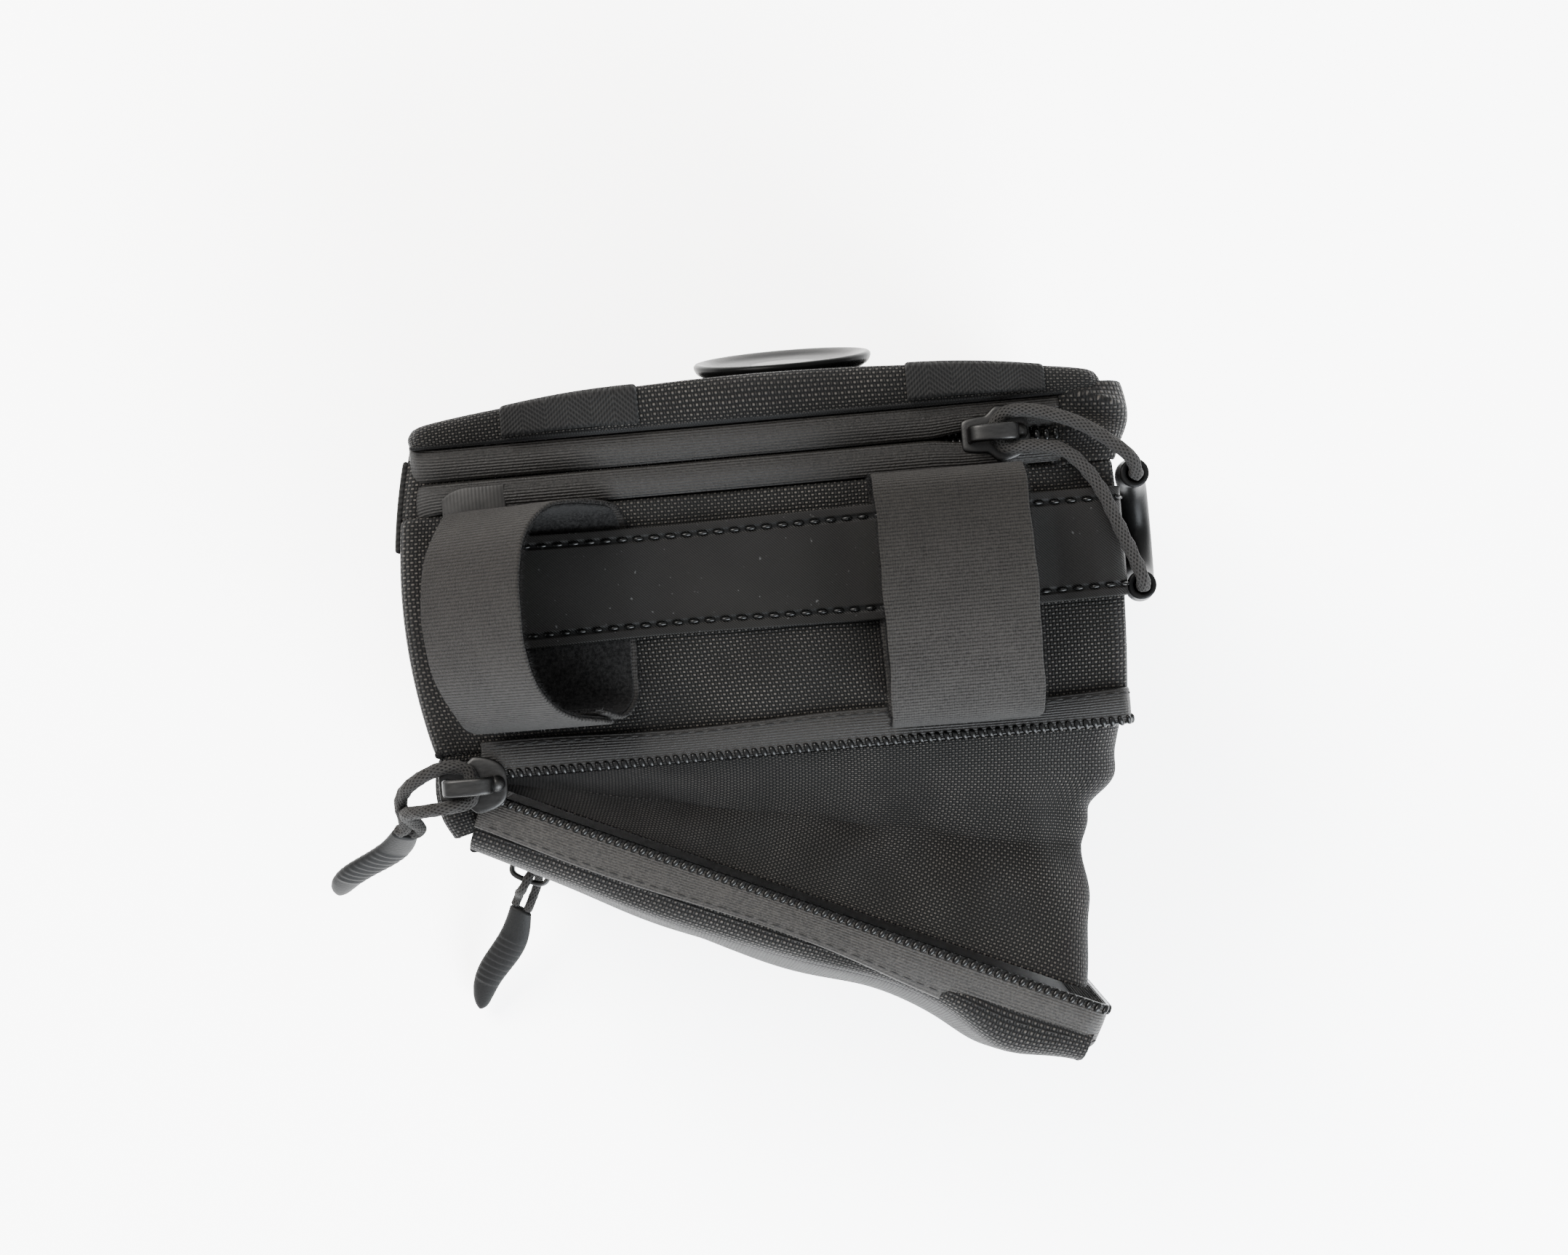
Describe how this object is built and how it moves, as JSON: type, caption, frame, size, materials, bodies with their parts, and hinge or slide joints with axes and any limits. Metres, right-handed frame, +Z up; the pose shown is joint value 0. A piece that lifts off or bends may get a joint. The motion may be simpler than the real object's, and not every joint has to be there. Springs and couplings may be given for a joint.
{
  "type": "expandable strap-on pouch",
  "caption": "Soft zipped pouch with strap loops on top, a padded back and a side-hinged front compartment that swings out on a zipped gusset.",
  "frame": {"origin": "underside of the base, below the middle of the main compartment", "axes": "+X along the bag to the main slider's end, +Y to the padded back panel, +Z up through the zipped top"},
  "size_m": [0.1962, 0.178, 0.1437],
  "materials": {
    "shell_weave": "black ballistic weave, matte with a slight sheen",
    "lining": "thin black lining cloth",
    "stiffener": "thin plastic board",
    "foam": "closed-cell foam sheet",
    "coated_tape": "film-coated zip tape with a fine stipple",
    "coated_strip": "smooth coated fabric, fine diagonal rib",
    "coil": "glossy black zip coil",
    "hook_and_loop": "grey-black hook-and-loop tape, woven back",
    "webbing": "black herringbone webbing",
    "slider_metal": "gunmetal lacquered die-cast zinc",
    "cord": "braided black cord",
    "hose": "smooth semi-gloss black hose",
    "moulded_plastic": "glossy black moulded plastic",
    "rubber_tab": "matte moulded rubber"
  },
  "bodies": {
    "main": {"base_skin": "shell_weave", "base_board": "stiffener", "left_wall": "shell_weave", "right_wall": "shell_weave", "divider_panel": "lining", "top_panel": "shell_weave", "back_lining": "lining", "back_foam": "foam", "back_skin": "shell_weave", "main_zip_tape_front": "coated_tape", "main_zip_tape_rear": "coated_tape", "main_zip_coil_front": "coil", "main_zip_coil_rear": "coil", "main_zip_end_patch": "coated_tape", "anchor_strip": "coated_strip", "webbing_loop_left": "webbing", "webbing_loop_right": "webbing", "left_side_webbing": "webbing", "rear_puck": "moulded_plastic", "rear_puck_plinth": "moulded_plastic", "strap_left_loop": "hook_and_loop", "strap_right_loop": "hook_and_loop", "expansion_zip_tape_rear": "coated_tape", "expansion_zip_coil_rear": "coil", "expansion_gusset": "shell_weave", "side_fold": "shell_weave"},
    "front_compartment": {"front_inner_panel": "lining", "front_outer_lower": "shell_weave", "front_outer_upper": "shell_weave", "front_band_base": "shell_weave", "front_band_top": "shell_weave", "front_band_left": "shell_weave", "front_band_right": "shell_weave", "expansion_zip_tape_front": "coated_tape", "expansion_zip_coil_front": "coil", "pocket_zip_tape_lower": "coated_tape", "pocket_zip_tape_upper": "coated_tape", "pocket_zip_coil_lower": "coil", "pocket_zip_coil_upper": "coil"},
    "main_slider": {"main_slider": "slider_metal"},
    "main_pull": {"main_pull_cord": "cord", "main_pull_tube": "hose"},
    "expansion_slider": {"expansion_slider": "slider_metal"},
    "expansion_pull": {"expansion_pull_cord": "cord", "expansion_pull_tab": "rubber_tab"},
    "pocket_slider": {"pocket_slider": "slider_metal"},
    "pocket_pull": {"pocket_pull_cord": "cord", "pocket_pull_tab": "rubber_tab"},
    "strap_left_end": {"strap_left_end": "hook_and_loop"},
    "strap_right_end": {"strap_right_end": "hook_and_loop"}
  },
  "joints": [
    {"name": "front_hinge", "type": "hinge", "parent": "main", "child": "front_compartment", "pos_m": [-0.07, -0.0275, 0], "axis": [0, 0, 1], "range_deg": [0, 24], "deforming": ["expansion_gusset", "side_fold", "expansion_pull_cord", "expansion_pull_tab"]},
    {"name": "main_slide", "type": "slide", "parent": "main", "child": "main_slider", "axis": [1, 0, 0], "range_m": [-0.1, 0], "deforming": ["main_pull_cord", "main_pull_tube"]},
    {"name": "main_pull_swing", "type": "hinge", "parent": "main_slider", "child": "main_pull", "pos_m": [0.0495, 0.038, 0.1153], "axis": [0, 1, 0], "range_deg": [-42, 0]},
    {"name": "expansion_slide", "type": "slide", "parent": "main", "child": "expansion_slider", "axis": [1, 0, 0], "range_m": [0, 0.135]},
    {"name": "expansion_pull_swing", "type": "hinge", "parent": "expansion_slider", "child": "expansion_pull", "pos_m": [-0.07, -0.0282, 0.117], "axis": [0, 1, 0], "range_deg": [0, 60]},
    {"name": "pocket_slide", "type": "slide", "parent": "front_compartment", "child": "pocket_slider", "axis": [0.9135, -0.4067, 0], "range_m": [0, 0.118]},
    {"name": "pocket_pull_swing", "type": "hinge", "parent": "pocket_slider", "child": "pocket_pull", "pos_m": [-0.06984, -0.05663, 0.0282], "axis": [-0.9135, 0.4067, 0], "range_deg": [0, 30]},
    {"name": "strap_left_peel", "type": "hinge", "parent": "main", "child": "strap_left_end", "pos_m": [-0.05724, 0.0301, 0.1252], "axis": [-1, 0, 0], "range_deg": [0, 55]},
    {"name": "strap_right_peel", "type": "hinge", "parent": "main", "child": "strap_right_end", "pos_m": [0.037, 0.0301, 0.124], "axis": [-1, 0, 0], "range_deg": [0, 55]}
  ],
  "couplings": [
    {"joint": "expansion_slide", "follows": "front_hinge", "m_per_rad": 0.3211},
    {"joint": "expansion_pull_swing", "follows": "front_hinge", "ratio": 2.4},
    {"joint": "main_pull_swing", "follows": "main_slide", "rad_per_m": 7.2431}
  ]
}
